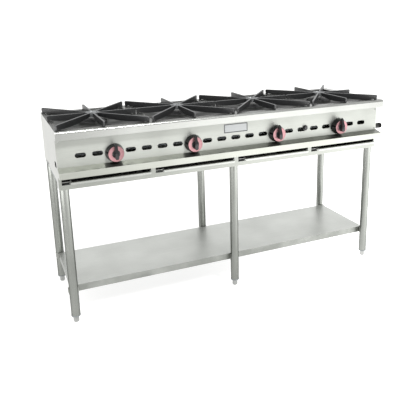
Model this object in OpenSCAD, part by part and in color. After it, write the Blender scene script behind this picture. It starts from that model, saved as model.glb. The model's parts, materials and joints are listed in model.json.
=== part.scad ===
// Straight four-burner gas boiling table on a six-legged stand with an undershelf.
// Millimetres. +X runs along the row of burners, +Y to the back, +Z up, floor at z = 0.
// Each module draws in the stand's own frame, centred on the leg grid, and placed()
// moves it so that the whole object's box is centred on the origin.

/* [Body] */
// Length over the outer faces of the side panels
body_l = 1580; // [1560:5:1700]
// Depth from the face of the control panel to the back
body_d = 470; // [460:5:540]
// Height of the worktop above the floor
top_z = 860; // [800:5:920]
// Thickness of the casing sheet
sheet = 1.5; // [1:0.1:2]
// Reach of the worktop's front edge ahead of the control panel
edge_out = 30; // [24:1:34]
// Height of the worktop's front edge
edge_h = 36; // [30:1:44]
// Outer radius along the worktop's front edge
edge_r = 10; // [6:1:14]
// Overhang of the worktop past the right side panel
overhang = 15; // [8:1:24]
// Width of the gusset under the left end of the front edge
gusset_w = 17; // [10:1:24]
// Height of that gusset
gusset_h = 10; // [6:1:16]
// Depth of the side panels below the ledge
side_skirt = 28; // [22:1:30]
// Length of the manifold's slot in the left side panel
pipe_slot_l = 52; // [48:1:56]
// Height of that slot
pipe_slot_h = 24; // [22:1:28]
// Length of the low vents in the side panels
low_vent_l = 66; // [50:1:80]
// Height of the low vents
low_vent_h = 7; // [5:1:9]
// Distance of the low vents ahead of the back legs' axis
low_vent_in = 110; // [90:5:140]
// Width of the folds behind the control panel
fold_w = 18; // [14:1:20]

/* [Control panel] */
// Height of the control panel between front edge and ledge
panel_h = 118; // [110:1:130]
// Distance from the casing's ends to the centres of the outermost vent slots
slot_margin = 95; // [80:1:120]
// Length of a vent slot
slot_l = 45; // [36:1:50]
// Height of a vent slot
slot_h = 20; // [14:1:22]
// Height of the vent slots above the panel's lower edge
slot_up = 44; // [40:1:50]
// Height of the knob axis above the panel's lower edge
knob_up = 40; // [40:1:48]

/* [Ledge and tray rail] */
// Reach of the ledge ahead of the control panel
ledge_out = 45; // [40:1:52]
// Fall of the ledge's top towards the front
ledge_fall = 10; // [8:1:14]
// Height of the ledge's front face
ledge_face = 27; // [22:1:32]
// Height of the tray rail
rail_h = 57; // [54:1:64]
// Width of the posts between the tray openings
tray_post = 20; // [15:1:30]
// Height of the rail below the tray openings
sill_h = 20; // [14:1:24]
// Height of a tray opening
tray_gap_h = 33; // [31:1:34]
// Depth of the rail's ends round the outer legs
rail_return = 60; // [40:1:70]

/* [Drip trays] */
// Offset of the tray openings to the right of the burners
tray_gap_shift = 2; // [-2:0.5:3]
// Room that a tray has sideways in its opening
tray_play = 38; // [20:1:50]
// Gap between a tray and the right end of its opening
tray_side = 2.5; // [1:0.5:6]
// Height of a drip tray
tray_h = 24; // [20:1:28]
// Thickness of the tray sheet
tray_sheet = 1.2; // [0.8:0.1:1.5]
// Height of the rolled front lip
lip_h = 12.5; // [10:0.5:14]
// Reach of the lip ahead of the rail
lip_out = 11; // [8:1:13]
// Gap behind a drip tray
tray_rear = 12.5; // [8:0.5:20]
// Height of the guides between the trays
guide_h = 12; // [8:1:16]

/* [Burners] */
// Gap between neighbouring pan supports
support_gap = 2; // [1:0.5:8]
// Gap between the pan supports and the back of the worktop
back_margin = 2; // [1:0.5:6]
// Landing of a pan support on the worktop at its front and back
seat_d = 20; // [16:1:30]
// Landing of a pan support on the worktop at its sides
seat_w = 21.5; // [18:0.5:30]
// Distance that the corner vanes stop short of the support's sides
corner_in = 3.5; // [0:0.5:8]
// Height of a pan support above the worktop
tip_h = 23; // [20:1:32]
// Radius of the hub
hub_r = 30; // [24:1:34]
// Height of the hub casting
hub_h = 16; // [12:1:17]
// Depth of the dish in the hub's top
hub_dish = 3; // [1:0.5:5]
// Width of the rim round that dish
hub_rim = 4; // [3:0.5:6]
// Thickness of a vane
vane_t = 8; // [6:0.5:10]
// Length of a vane's foot on the worktop
vane_foot = 12; // [8:1:15]
// Depth that the vanes' bellies reach below the worktop
belly = 5; // [2:1:8]
// Depth of the spill bowls at their middle
bowl_depth = 24; // [18:1:30]
// Width of a spill bowl's rim under the worktop
bowl_rim = 6; // [4:0.5:8]
// Radius of the burner head
head_r = 57; // [50:1:58]
// Height of the burner head
head_h = 38; // [30:1:40]
// Height of the cup below the burner head
base_h = 90; // [80:1:96]
// Gap from the burner head up to the worktop level
head_drop = 10; // [9:1:16]
// Outer radius of the mixing tube
mix_r = 18; // [15:1:20]
// Wall of the cup
cup_wall = 4; // [3:0.5:6]
// Height of the channels that carry the cups
channel_h = 18; // [12:1:24]

/* [Knobs and taps] */
// Radius of the knob's rear skirt
skirt_r = 39; // [36:0.5:40]
// Radius of the knob's front disc
disc_r = 34; // [30:0.5:35]
// Length of the knob from skirt to disc
knob_l = 28; // [24:1:32]
// Gap between skirt and control panel
knob_gap = 4; // [4:0.5:6]
// Height of the lever on the disc
lever_h = 18; // [12:1:20]
// Height of the lever at its point
point_h = 5; // [3:0.5:8]
// Width of the lever
lever_w = 16; // [12:0.5:20]
// Width of the lever below its point
neck_w = 12; // [8:0.5:12]
// Reach of the lever's point from the axis
lever_reach = 45.5; // [40:0.5:46]
// Reach of the lever's round end from the axis
lever_tail = 22; // [18:0.5:30]
// Width of the metal ring in the disc
ring_w = 15.5; // [12:0.5:17]
// Radius of the tap spindle
spindle_r = 4; // [3:0.25:5]
// Depth of the spindle in the knob
spindle_in = 20; // [14:1:22]
// Radius of the taps' bodies
tap_r = 14; // [12:0.5:15]
// Gap between the control panel and the taps' bodies
tap_set = 17; // [12:1:20]
// Reach of the taps' bodies behind the manifold axis
tap_reach = 22; // [18:1:26]
// Depth that the knob pushes in
push_in = 3; // [2:0.5:3]
// Outer diameter of the gas manifold
pipe_d = 26.9; // [24:0.1:30]
// Wall of the gas manifold
pipe_wall = 2.6; // [2:0.1:3.2]
// Height of the knob axis above the manifold axis
pipe_drop = 34; // [32:1:38]
// Distance of the manifold axis behind the control panel's face
pipe_back = 45; // [42:1:50]
// Reach of the gas inlet past the right side panel
inlet_out = 66; // [60:1:90]
// Length of the inlet's threaded end
inlet_l = 20; // [16:1:24]

/* [Igniter] */
// Radius of the igniter's bezel
bezel_r = 13.5; // [12:0.5:15]
// Radius of the push button
button_r = 9; // [7:0.5:10]
// How far the button stands proud of the bezel
button_out = 9; // [7:0.5:12]
// Travel of the button
button_travel = 5; // [3:0.5:6]
// Length of the igniter behind the control panel
igniter_l = 32; // [24:1:40]

/* [Stand] */
// Diameter of the leg tubes
leg_d = 38.1; // [32:0.1:42]
// Wall of the leg tubes
leg_wall = 1.5; // [1:0.1:2]
// Distance of the outer legs' axis from the side panels' outer face
leg_in = 22; // [22:0.5:30]
// Distance of the front legs' axis behind the control panel's face
leg_front = 30; // [26:0.5:36]
// Distance of the back legs' axis from the back
leg_back = 20; // [20:0.5:30]
// Height of the undershelf's top
shelf_z = 160; // [120:5:300]
// Height of the undershelf's folded edge
shelf_h = 30; // [24:1:40]
// Gap between the undershelf and the legs
shelf_gap = 3; // [2:0.5:6]
// Height of the foot below its insert
foot_h = 28; // [24:1:34]
// Thickness of the insert's flange
flange_t = 6; // [4:0.5:8]
// Radius of the foot
foot_r = 12; // [9:0.5:14]
// How far a foot screws out
foot_travel = 20; // [10:1:24]
// Length of thread left in the insert at full travel
grip_l = 12; // [8:1:20]
// Width of the folds round the shelf's underside
shelf_hem = 14; // [10:1:20]
// Width of the channel under the shelf
shelf_rib = 60; // [40:2:80]
// Width of the bearers on top of the legs
bearer_w = 36; // [30:1:40]

/* [Hidden] */
burners = 4;
legs = 6;
function numbered(stem, count) = [for (i = [1:count]) str(stem, i)];

$fn = 64;
fit = 0.05;
slack = 0.3;
seam = 0.5;
bearer_t = 2;
tap_wall = 3;

half_l = body_l / 2;
inner_l = half_l - sheet;
panel_y = -(body_d - leg_front - leg_back) / 2 - leg_front;
back_y = panel_y + body_d;
edge_y = panel_y - edge_out;
edge_z = top_z - edge_h;
panel_z = edge_z - panel_h;
ledge_y = panel_y - ledge_out;
ledge_z = panel_z - ledge_fall;
ledge_low = ledge_z - ledge_face;
rail_z = ledge_low - rail_h;
rail_y = panel_y + sheet + seam;
rail_back = rail_y + sheet;
side_z = ledge_low - side_skirt;
under_y = panel_y + fold_w;

leg_r = leg_d / 2;
leg_x = half_l - leg_in;
leg_y = back_y - leg_back;
bearer_z = rail_z + sill_h;
leg_top = bearer_z - bearer_t;
leg_foot = foot_h + flange_t;
stem_r = foot_r / 2;
stem_top = foot_h + foot_travel + grip_l;

cell_pitch = body_l / burners;
support_w = cell_pitch - support_gap;
cutout_w = support_w - 2 * seat_w;
cutout_front = panel_y + sheet + seam + bowl_rim;
cutout_back = back_y - back_margin - seat_d;
cutout_d = cutout_back - cutout_front;
cutout_r = 20;
support_d = cutout_d + 2 * seat_d;
cell_y = (cutout_front + cutout_back) / 2;
cell_x = [for (i = [0:burners - 1]) (i - (burners - 1) / 2) * cell_pitch];
last_slot = 10;
slot_pitch = (body_l / 2 - slot_margin) / last_slot;
knob_places = [-8, -3, 3, 8];
knob_x = knob_places * slot_pitch;
knob_z = panel_z + knob_up;
slot_z = panel_z + slot_up;

pipe_r = pipe_d / 2;
pipe_y = panel_y + pipe_back;
pipe_z = knob_z - pipe_drop;
pipe_end = half_l + inlet_out;
plug_l = 14;
pipe_start = -inner_l + plug_l + 3;

tray_gap_w = cell_pitch - tray_post;
tray_w = tray_gap_w - tray_play;
tray_gap_x = [for (x = cell_x) x + tray_gap_shift];
tray_x = [for (x = tray_gap_x) x + (tray_play / 2 - tray_side)];
tray_z = bearer_z + slack;
tray_front = rail_back + seam;
tray_back = back_y - sheet - bearer_t - tray_rear;
lip_y = rail_y - lip_out;

dish_z = top_z - bowl_depth;
dish_rim = top_z - 2 * sheet - 4;
hole_r = head_r + 5;
head_z = top_z - head_drop - head_h;
base_low = head_z - base_h;
channel_in = 16;
channel_w = 24;
base_r = head_r + cup_wall - 1;

spindle_back = pipe_y - pipe_r - tap_wall;
skirt_y = panel_y - knob_gap;
disc_y = skirt_y - knob_l;
lever_y = disc_y - lever_h;
tap_front = panel_y + sheet + tap_set;
tap_back = pipe_y + tap_reach;
igniter_x = 5 * slot_pitch + slot_l / 2 - 3;
igniter_z = slot_z + 6;
neck_r = button_r + 1.6;

centre_x = (pipe_end - half_l) / 2;
centre_y = (min(lever_y, ledge_y) + back_y) / 2;

module placed() translate([-centre_x, -centre_y, 0]) children();

// Extrudes a (y, z) outline from x0 to x1
module along_x(x0, x1)
    translate([x0, 0, 0]) rotate([90, 0, 90]) linear_extrude(x1 - x0) children();

// Extrudes an (x, z) outline from y0 to y1
module along_y(y0, y1)
    translate([0, y1, 0]) rotate([90, 0, 0]) linear_extrude(y1 - y0) children();

// Turns an (r, h) outline about an axis that points to the front, h = 0 at y
module turned(x, y, z) translate([x, y, z]) rotate([90, 0, 0]) rotate_extrude() children();

module box(low, high) translate(low) cube(high - low);

module rod_y(x, z, r, y0, y1)
    translate([x, y1, z]) rotate([90, 0, 0]) cylinder(r = r, h = y1 - y0);

module rod_x(y, z, r, x0, x1)
    translate([x0, y, z]) rotate([0, 90, 0]) cylinder(r = r, h = x1 - x0);

// Area behind the worktop's rounded front edge, in (y, z)
module edge_area(y0, z0, y1, z1, r) {
    translate([y0 + r, z0]) square([y1 - y0 - r, z1 - z0]);
    translate([y0, z0]) square([2 * r, z1 - z0 - r]);
    translate([y0 + r, z1 - r]) circle(r = r);
}

module rounded_rect(w, d, r) {
    square([w - 2 * r, d], center = true);
    square([w, d - 2 * r], center = true);
    for (sx = [-1, 1], sy = [-1, 1])
        translate([sx * (w / 2 - r), sy * (d / 2 - r)]) circle(r = r);
}

module obround(l, h) {
    square([l - h, h], center = true);
    for (s = [-1, 1]) translate([s * (l - h) / 2, 0]) circle(d = h);
}

module top_plate() {
    groove_y = edge_y + edge_r + 4;
    color("gainsboro") difference() {
        union() {
            along_x(-half_l, half_l + overhang) difference() {
                edge_area(edge_y, edge_z, back_y, top_z, edge_r);
                edge_area(edge_y + sheet, edge_z + sheet, back_y + 1, top_z - sheet,
                          edge_r - sheet);
                translate([panel_y, edge_z - 1]) square([body_d + 2, edge_h + 1 - sheet]);
            }
            along_x(half_l + overhang - sheet, half_l + overhang)
                translate([edge_y + edge_r, edge_z])
                square([back_y - edge_y - edge_r, edge_h - sheet / 2]);
            along_y(edge_y, edge_y + sheet)
                polygon([[-half_l, edge_z], [-half_l + gusset_w, edge_z],
                         [-half_l, edge_z - gusset_h]]);
        }
        for (x = cell_x) translate([x, cell_y, top_z - 2 * sheet])
            linear_extrude(3 * sheet) rounded_rect(cutout_w, cutout_d, cutout_r);
        box([-half_l - 1, groove_y, top_z - sheet / 2],
            [half_l + overhang + 1, groove_y + 3, top_z + 1]);
    }
}

// Outline of a side panel in (y, z), held inside the folded edge and ledge
module side_outline() {
    edge_area(edge_y + sheet, edge_z + sheet, back_y, top_z - sheet, edge_r - sheet);
    polygon([[rail_back, side_z], [rail_back, ledge_low + sheet],
             [ledge_y + sheet, ledge_low + sheet], [ledge_y + sheet, ledge_z - sheet - 0.1],
             [panel_y, panel_z - sheet - 0.2], [panel_y, edge_z + 2 * sheet],
             [back_y, edge_z + 2 * sheet], [back_y, side_z]]);
}

module low_vent() translate([leg_y - low_vent_in, side_z + low_vent_h / 2 + 4])
    obround(low_vent_l, low_vent_h);

module left_side() color("lightgray") along_x(-half_l, -inner_l) difference() {
    side_outline();
    translate([pipe_y, pipe_z]) obround(pipe_slot_l, pipe_slot_h);
    low_vent();
}

module right_side() color("lightgray") along_x(inner_l, half_l) difference() {
    side_outline();
    translate([pipe_y, pipe_z]) circle(r = pipe_r + fit);
    low_vent();
}

module back_panel() color("lightgray")
    box([-inner_l, back_y - sheet, side_z], [inner_l, back_y, top_z - sheet]);

function is_slot(n) = len(search(n, knob_places)) == 0;

module control_panel() color("silver") difference() {
    union() {
        box([-inner_l, panel_y, panel_z], [inner_l, panel_y + sheet, top_z - sheet]);
        box([-inner_l, panel_y, panel_z], [inner_l, under_y, panel_z + sheet]);
    }
    along_y(panel_y - 1, panel_y + 2 * sheet) {
        for (n = [-last_slot:last_slot]) if (is_slot(n))
            translate([n * slot_pitch, slot_z]) obround(slot_l, slot_h);
        for (x = knob_x) translate([x, knob_z]) circle(r = spindle_r + 3);
        translate([igniter_x, igniter_z]) circle(r = neck_r + 0.2);
    }
}

module front_ledge() color("darkgray") {
    along_x(-half_l, half_l) {
        polygon([[panel_y, panel_z], [ledge_y, ledge_z], [ledge_y, ledge_low],
                 [rail_back, ledge_low], [rail_back, ledge_low + sheet],
                 [ledge_y + sheet, ledge_low + sheet], [ledge_y + sheet, ledge_z - sheet],
                 [panel_y, panel_z - sheet]]);
    }
    along_x(-inner_l, inner_l) {
        translate([panel_y, panel_z - sheet]) square([under_y - panel_y, sheet]);
        translate([rail_back, ledge_low]) square([under_y - rail_back, sheet]);
    }
}

module front_rail() color("gainsboro") difference() {
    union() {
        box([-half_l, rail_y, rail_z], [half_l, rail_back, ledge_low]);
        box([-inner_l, rail_y, ledge_low - sheet], [inner_l, under_y, ledge_low]);
        for (s = [0, 1]) mirror([s, 0, 0])
            box([-half_l, rail_y, rail_z], [-inner_l, rail_y + rail_return, side_z]);
    }
    for (x = tray_gap_x)
        box([x - tray_gap_w / 2, rail_y - 1, bearer_z],
            [x + tray_gap_w / 2, rail_back + 1, bearer_z + tray_gap_h]);
}

module front_bearer() color("gray") {
    box([-inner_l, rail_back, leg_top], [inner_l, -leg_y + leg_r + 1, bearer_z]);
    box([-inner_l, rail_back, rail_z + sheet], [inner_l, rail_back + bearer_t, leg_top]);
}

module back_bearer() color("gray") {
    inner = back_y - sheet;
    box([-inner_l, leg_y - leg_r - 1, leg_top], [inner_l, inner, bearer_z]);
    box([-inner_l, inner - bearer_t, bearer_z], [inner_l, inner, side_z + 14]);
}

module side_bearers() color("gray") for (s = [0, 1]) mirror([s, 0, 0]) {
    reach = leg_y - leg_r - 1;
    box([-inner_l, -reach, leg_top], [-inner_l + bearer_w, reach, bearer_z]);
    box([-inner_l, -reach, bearer_z], [-inner_l + bearer_t, reach, side_z + 4]);
}

// Inverted channel that keeps the trays apart
module tray_guide(x0, x1) difference() {
    box([x0, rail_back + 2, bearer_z], [x1, back_y - sheet - bearer_t, bearer_z + guide_h]);
    box([x0 + sheet, rail_back + 1, bearer_z - 1], [x1 - sheet, back_y, bearer_z + guide_h - sheet]);
}

module tray_guides() color("dimgray") {
    reach = tray_w / 2 + 1;
    end_x = inner_l - bearer_t;
    tray_guide(-end_x, tray_x[0] - reach);
    for (i = [1:burners - 1]) tray_guide(tray_x[i - 1] + reach, tray_x[i] - reach);
    tray_guide(tray_x[burners - 1] + reach, end_x);
}

// Drip tray: an open pan whose front is rolled into a finger lip
module drip_tray(i) {
    t = tray_sheet;
    roll = 5;
    color("whitesmoke") translate([tray_x[i - 1], 0, tray_z]) {
        difference() {
            box([-tray_w / 2, tray_front, 0], [tray_w / 2, tray_back, tray_h]);
            box([-tray_w / 2 + t, tray_front + t, t], [tray_w / 2 - t, tray_back - t, tray_h + 1]);
            box([-tray_w, tray_front - 1, lip_h], [tray_w, tray_front + 2 * t, tray_h + 1]);
        }
        intersection() {
            along_x(-tray_w / 2, tray_w / 2) difference() {
                edge_area(lip_y, 1, tray_front + t, lip_h, roll);
                edge_area(lip_y + t, 0, tray_front, lip_h - t, roll - t);
            }
            along_y(lip_y - 1, tray_front + 2 * t)
                translate([0, lip_h / 2]) rounded_rect(tray_w, lip_h, 4);
        }
    }
}

module undershelf() color("lightgray") {
    end_x = leg_x + 7;
    side_y = leg_y - leg_r - shelf_gap;
    low = shelf_z - shelf_h;
    rib = shelf_rib / 2;
    rib_x = end_x - shelf_hem;
    difference() {
        box([-end_x, -side_y, low], [end_x, side_y, shelf_z]);
        box([-end_x + sheet, -side_y + sheet, low + sheet],
            [end_x - sheet, side_y - sheet, shelf_z - sheet]);
        box([-rib_x, -side_y + shelf_hem, low - 1], [rib_x, side_y - shelf_hem, low + 2 * sheet]);
    }
    difference() {
        box([-rib_x, -rib, low + 4], [rib_x, rib, shelf_z - sheet]);
        box([-end_x, -rib + sheet, low + 4 + sheet], [end_x, rib - sheet, shelf_z]);
    }
}

// Saddles that tie the shelf's folded edges to the legs
module shelf_clips() color("silver") {
    side_y = leg_y - leg_r - shelf_gap;
    wrap = leg_r + 2;
    low = shelf_z - shelf_h + 3;
    high = shelf_z - 3;
    for (x = [-leg_x, 0, leg_x], s = [0, 1]) translate([x, 0, 0]) mirror([0, s, 0])
        difference() {
            union() {
                box([-wrap, side_y, low], [wrap, side_y + 2, high]);
                intersection() {
                    translate([0, leg_y, low]) cylinder(r = wrap, h = high - low);
                    box([-wrap, side_y, low], [wrap, leg_y, high]);
                }
            }
            translate([0, leg_y, low - 1]) cylinder(r = leg_r, h = high - low + 2);
        }
}

function leg_place(i) = [(i - 1) % 3 - 1, i <= legs / 2 ? -1 : 1];

module at_leg(i) {
    p = leg_place(i);
    translate([p[0] * leg_x, p[1] * leg_y, 0]) children();
}

module leg(i) color("silver") at_leg(i) difference() {
    translate([0, 0, leg_foot]) cylinder(r = leg_r, h = leg_top - leg_foot);
    translate([0, 0, leg_foot - 1])
        cylinder(r = leg_r - leg_wall, h = leg_top - leg_foot + 2);
}

module leg_inserts() color("dimgray") for (i = [1:legs]) at_leg(i) rotate_extrude() {
    rim = leg_r + 0.8;
    polygon([[stem_r + fit, foot_h], [rim - 2, foot_h], [rim, foot_h + 2], [rim, leg_foot],
             [leg_r - leg_wall - fit, leg_foot], [leg_r - leg_wall - fit, stem_top],
             [stem_r + fit, stem_top]]);
}

module foot(i) color("lightgray") at_leg(i) rotate_extrude()
    polygon([[0, 0], [foot_r - 4, 0], [foot_r - 1.5, 2], [foot_r, 6], [foot_r, foot_h - 3],
             [foot_r - 2, foot_h], [stem_r, foot_h], [stem_r, stem_top], [0, stem_top]]);

// Pressed bowl: a dished floor clipped by the opening's rounded rectangle
module spill_bowl(x) {
    far_r = norm([cutout_w, cutout_d]) / 2 + 20;
    rise = dish_rim - dish_z;
    function floor_z(r) = dish_z + rise * (r - hole_r) / (far_r - hole_r);
    translate([x, cell_y, 0]) difference() {
        union() {
            translate([0, 0, top_z - 2 * sheet]) linear_extrude(sheet)
                rounded_rect(cutout_w + 2 * bowl_rim, cutout_d + 2 * bowl_rim, cutout_r + bowl_rim);
            intersection() {
                translate([0, 0, dish_z - 5]) linear_extrude(top_z - sheet - dish_z + 5)
                    rounded_rect(cutout_w, cutout_d, cutout_r);
                rotate_extrude($fn = 96)
                    polygon([[hole_r, floor_z(hole_r) - sheet], [far_r, floor_z(far_r) - sheet],
                             [far_r, top_z], [hole_r, top_z]]);
            }
        }
        intersection() {
            translate([0, 0, dish_z - 5]) linear_extrude(top_z - dish_z + 10)
                rounded_rect(cutout_w - 2 * sheet, cutout_d - 2 * sheet, cutout_r - sheet);
            rotate_extrude($fn = 96)
                polygon([[hole_r + sheet, floor_z(hole_r + sheet)], [far_r, floor_z(far_r)],
                         [far_r, top_z + 1], [0, top_z + 1], [0, dish_z + 9],
                         [hole_r + sheet, dish_z + 9]]);
        }
        translate([0, 0, dish_z - 10]) cylinder(r = hole_r, h = bowl_depth + 20);
    }
}

module spill_bowls() color("slategray") for (x = cell_x) spill_bowl(x);

// Cast base: a deep cup with an offset mixing tube that faces its tap
module burner_base(i) {
    wall = cup_wall;
    rim = head_z;
    tap_x = knob_x[i] - cell_x[i];
    mouth = tap_back + 8;
    translate([cell_x[i], cell_y, 0]) difference() {
        union() {
            rotate_extrude() polygon([[0, base_low], [base_r - 14, base_low],
                [base_r - 2, base_low + 14], [base_r, base_low + 26], [base_r, rim], [0, rim]]);
            rod_y(tap_x, knob_z, mix_r, mouth - cell_y, 0);
            translate([tap_x, mouth - cell_y + 12, knob_z]) rotate([90, 0, 0])
                cylinder(r1 = mix_r, r2 = mix_r + 5, h = 12);
        }
        rotate_extrude() polygon([[0, base_low + wall], [base_r - 14 - wall, base_low + wall],
            [base_r - 2 - wall, base_low + 14 + wall], [base_r - wall, base_low + 26 + wall],
            [base_r - wall, rim + 1], [0, rim + 1]]);
        rod_y(tap_x, knob_z, mix_r - 3, mouth - cell_y - 1, 0);
        translate([tap_x, mouth - cell_y + 12, knob_z]) rotate([90, 0, 0])
            cylinder(r1 = mix_r - 3, r2 = mix_r + 2, h = 12.01);
    }
}

module burner_bases() color("dimgray") for (i = [0:burners - 1]) burner_base(i);

module burner_bearers() color("gray") for (s = [-1, 1]) {
    mid = cell_y + s * (channel_in + channel_w / 2);
    half = channel_w / 2;
    difference() {
        box([-inner_l, mid - half, base_low - channel_h], [inner_l, mid + half, base_low]);
        box([-half_l, mid - half + bearer_t, base_low - channel_h - 1],
            [half_l, mid + half - bearer_t, base_low - bearer_t]);
    }
}

// Cast burner cap with a ring of flame ports and a spigot into the base
module burner_head(i) {
    ports = 28;
    spigot = base_r - cup_wall - slack;
    color("dimgray") translate([cell_x[i - 1], cell_y, head_z]) difference() {
        rotate_extrude() polygon([[0, head_h - 5], [spigot - 4, head_h - 12], [spigot - 4, -8],
            [spigot, -8], [spigot, 0], [head_r, 0], [head_r, head_h - 9],
            [head_r - 7, head_h - 3], [20, head_h], [0, head_h]]);
        for (a = [0:360 / ports:359]) rotate([0, 0, a])
            translate([spigot - 8, -1.5, head_h - 24]) cube([20, 3, 8]);
    }
}

// One vane seen from the side, (r, z) with z = 0 on the worktop
module vane_outline(reach) {
    lift = 2;
    steps = 8;
    low = tip_h - hub_h;
    inner = vane_foot + 4;
    span = reach - inner - hub_r;
    function sag(u) = 4 * u * (1 - u);
    belly_line = [for (k = [0:steps]) let (u = k / steps)
        [reach - inner - u * span, lift + u * (low - lift) - sag(u) * (belly + low / 2)]];
    polygon(concat([[0, tip_h], [reach - 5, tip_h], [reach, tip_h - 4],
                    [reach - 2, 0], [reach - vane_foot, 0]], belly_line,
                   [[hub_r - 8, low], [0, low]]));
}

// Reach at which a vane of full thickness just touches the support's rectangle
function reach_to(half, along, across) = (half - abs(across) * vane_t / 2) / max(abs(along), 0.001);

module vane(x, y) {
    half_w = support_w / 2 - abs(x * y) * corner_in;
    half_d = support_d / 2;
    turn = atan2(y * half_d, x * half_w);
    reach = min(reach_to(half_w, cos(turn), x * sin(turn)),
                reach_to(half_d, sin(turn), y * cos(turn)));
    rotate([0, 0, turn]) rotate([90, 0, 0])
        translate([0, 0, -vane_t / 2]) linear_extrude(vane_t) vane_outline(reach);
}

// Cast pan support: a dished hub with eight vanes, to the corners and the middles of its sides
module pan_support(i) color("darkslategray") translate([cell_x[i - 1], cell_y, top_z])
    difference() {
        union() {
            translate([0, 0, tip_h - hub_h - 1]) cylinder(r = hub_r, h = hub_h + 1);
            for (x = [-1:1], y = [-1:1]) if (x != 0 || y != 0) vane(x, y);
        }
        translate([0, 0, tip_h - hub_dish])
            cylinder(r1 = hub_r - hub_rim - hub_dish / 2, r2 = hub_r - hub_rim, h = hub_dish + 0.01);
    }

module manifold() color("black") difference() {
    union() {
        rod_x(pipe_y, pipe_z, pipe_r, pipe_start, pipe_end - inlet_l);
        rod_x(pipe_y, pipe_z, pipe_r - 0.25, pipe_end - inlet_l - 1, pipe_end);
    }
    rod_x(pipe_y, pipe_z, pipe_r - pipe_wall, pipe_start - 1, pipe_end + 1);
}

module manifold_plug() color("black") {
    rod_x(pipe_y, pipe_z, pipe_r - pipe_wall - fit, pipe_start - 1, pipe_start + plug_l);
    translate([pipe_start - plug_l, pipe_y, pipe_z]) rotate([0, 90, 0])
        cylinder(r = pipe_r + 3, h = plug_l, $fn = 6);
}

// Straps from the control panel to the manifold
module manifold_brackets() color("silver") for (x = [-0.5, 0, 0.5] * half_l) difference() {
    union() {
        box([x - 12, panel_y + sheet, pipe_z + 2], [x + 12, panel_y + 2 * sheet, pipe_z + pipe_r + 9]);
        box([x - 12, panel_y + sheet, pipe_z + pipe_r + 7], [x + 12, pipe_y, pipe_z + pipe_r + 9]);
        box([x - 12, pipe_y - 2, pipe_z], [x + 12, pipe_y, pipe_z + pipe_r + 9]);
    }
    rod_x(pipe_y, pipe_z, pipe_r, x - 13, x + 13);
    box([x - 13, panel_y, 0], [x + 13, under_y, panel_z + sheet]);
}

// Brass tap on the manifold, with its injector behind
module gas_tap(x) difference() {
    union() {
        rod_y(x, knob_z, tap_r, tap_front, tap_back);
        rod_y(x, knob_z, tap_r - 4, tap_front - 5, tap_front);
        translate([x, pipe_y, pipe_z]) cylinder(r = 9, h = pipe_drop);
        translate([x, tap_back + 12, knob_z]) rotate([90, 0, 0])
            cylinder(r1 = 3, r2 = 8, h = 12);
    }
    rod_x(pipe_y, pipe_z, pipe_r, x - 12, x + 12);
    rod_y(x, knob_z, spindle_r + fit, tap_front - 6, spindle_back + 1);
}

module gas_taps() color("goldenrod") for (x = knob_x) gas_tap(x);

module tap_spindle(i) color("silver") difference() {
    front = skirt_y - spindle_in;
    rod_y(knob_x[i - 1], knob_z, spindle_r, front, spindle_back);
    box([knob_x[i - 1] - 10, front - 1, knob_z + spindle_r - 1],
        [knob_x[i - 1] + 10, skirt_y - 4, knob_z + spindle_r + 1]);
}

// Ring groove in the knob's disc, shared with the metal face
ring_out = disc_r - 1.5;
ring_in = ring_out - ring_w;
ring_t = 1.2;
boss_h = 2;

module lever_outline() {
    half_w = lever_w / 2;
    half_n = neck_w / 2;
    translate([0, half_w - lever_tail]) circle(r = half_w);
    polygon([[-half_w, half_w - lever_tail], [half_w, half_w - lever_tail], [half_w, 0],
             [half_n, lever_reach - 2 * neck_w], [half_n, lever_reach - 0.7 * neck_w],
             [0, lever_reach], [-half_n, lever_reach - 0.7 * neck_w],
             [-half_n, lever_reach - 2 * neck_w], [-half_w, 0]]);
}

// Pointed lever whose front slopes down to its point
module lever() intersection() {
    along_y(lever_y, disc_y + 1) lever_outline();
    along_x(-lever_w, lever_w)
        polygon([[disc_y + 1, -lever_tail - 1], [lever_y + 3, -lever_tail - 1],
                 [lever_y, -lever_tail + 4], [lever_y, 6],
                 [disc_y - point_h, lever_reach], [disc_y + 1, lever_reach]]);
}

module knob(i) {
    x = knob_x[i - 1];
    bore = spindle_r + fit;
    color("black") difference() {
        union() {
            turned(x, skirt_y, knob_z) polygon([[0, 0], [skirt_r, 0], [skirt_r, 2],
                [disc_r + 2, knob_l / 2], [disc_r, knob_l - 2], [disc_r - 1, knob_l],
                [ring_in, knob_l], [ring_in - 2, knob_l + boss_h], [0, knob_l + boss_h]]);
            translate([x, 0, knob_z]) lever();
        }
        turned(x, skirt_y, knob_z) difference() {
            translate([0, -1]) square([disc_r - 4, knob_l - 9]);
            translate([0, -2]) square([spindle_r + 4, knob_l]);
        }
        difference() {
            turned(x, disc_y + ring_t, knob_z)
                translate([ring_in, 0]) square([ring_out - ring_in, ring_t + 1]);
            translate([x, 0, knob_z]) along_y(lever_y, skirt_y) lever_outline();
        }
        rod_y(x, knob_z, bore, skirt_y - spindle_in - push_in - 1, skirt_y + 1);
    }
}

module knob_face(i) color("palevioletred") difference() {
    turned(knob_x[i - 1], disc_y + ring_t, knob_z)
        translate([ring_in, 0]) square([ring_out - ring_in, ring_t]);
    translate([knob_x[i - 1], 0, knob_z]) along_y(lever_y, skirt_y) lever_outline();
}

module igniter_body() color("black") {
    step = button_r + 0.06;
    turned(igniter_x, panel_y, igniter_z) {
        translate([step, 0]) square([bezel_r - step, 3]);
        translate([step, -sheet]) square([neck_r - step, sheet + 1]);
        difference() {
            translate([0, -sheet - igniter_l]) square([neck_r + 1, igniter_l]);
            translate([0, -14]) square([step, 14]);
        }
    }
}

module igniter_button() color("black") turned(igniter_x, panel_y - 3, igniter_z)
    polygon([[0, button_travel - 16], [button_r, button_travel - 16], [button_r, button_out - 1.5],
             [button_r - 1.5, button_out], [0, button_out]]);

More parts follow.
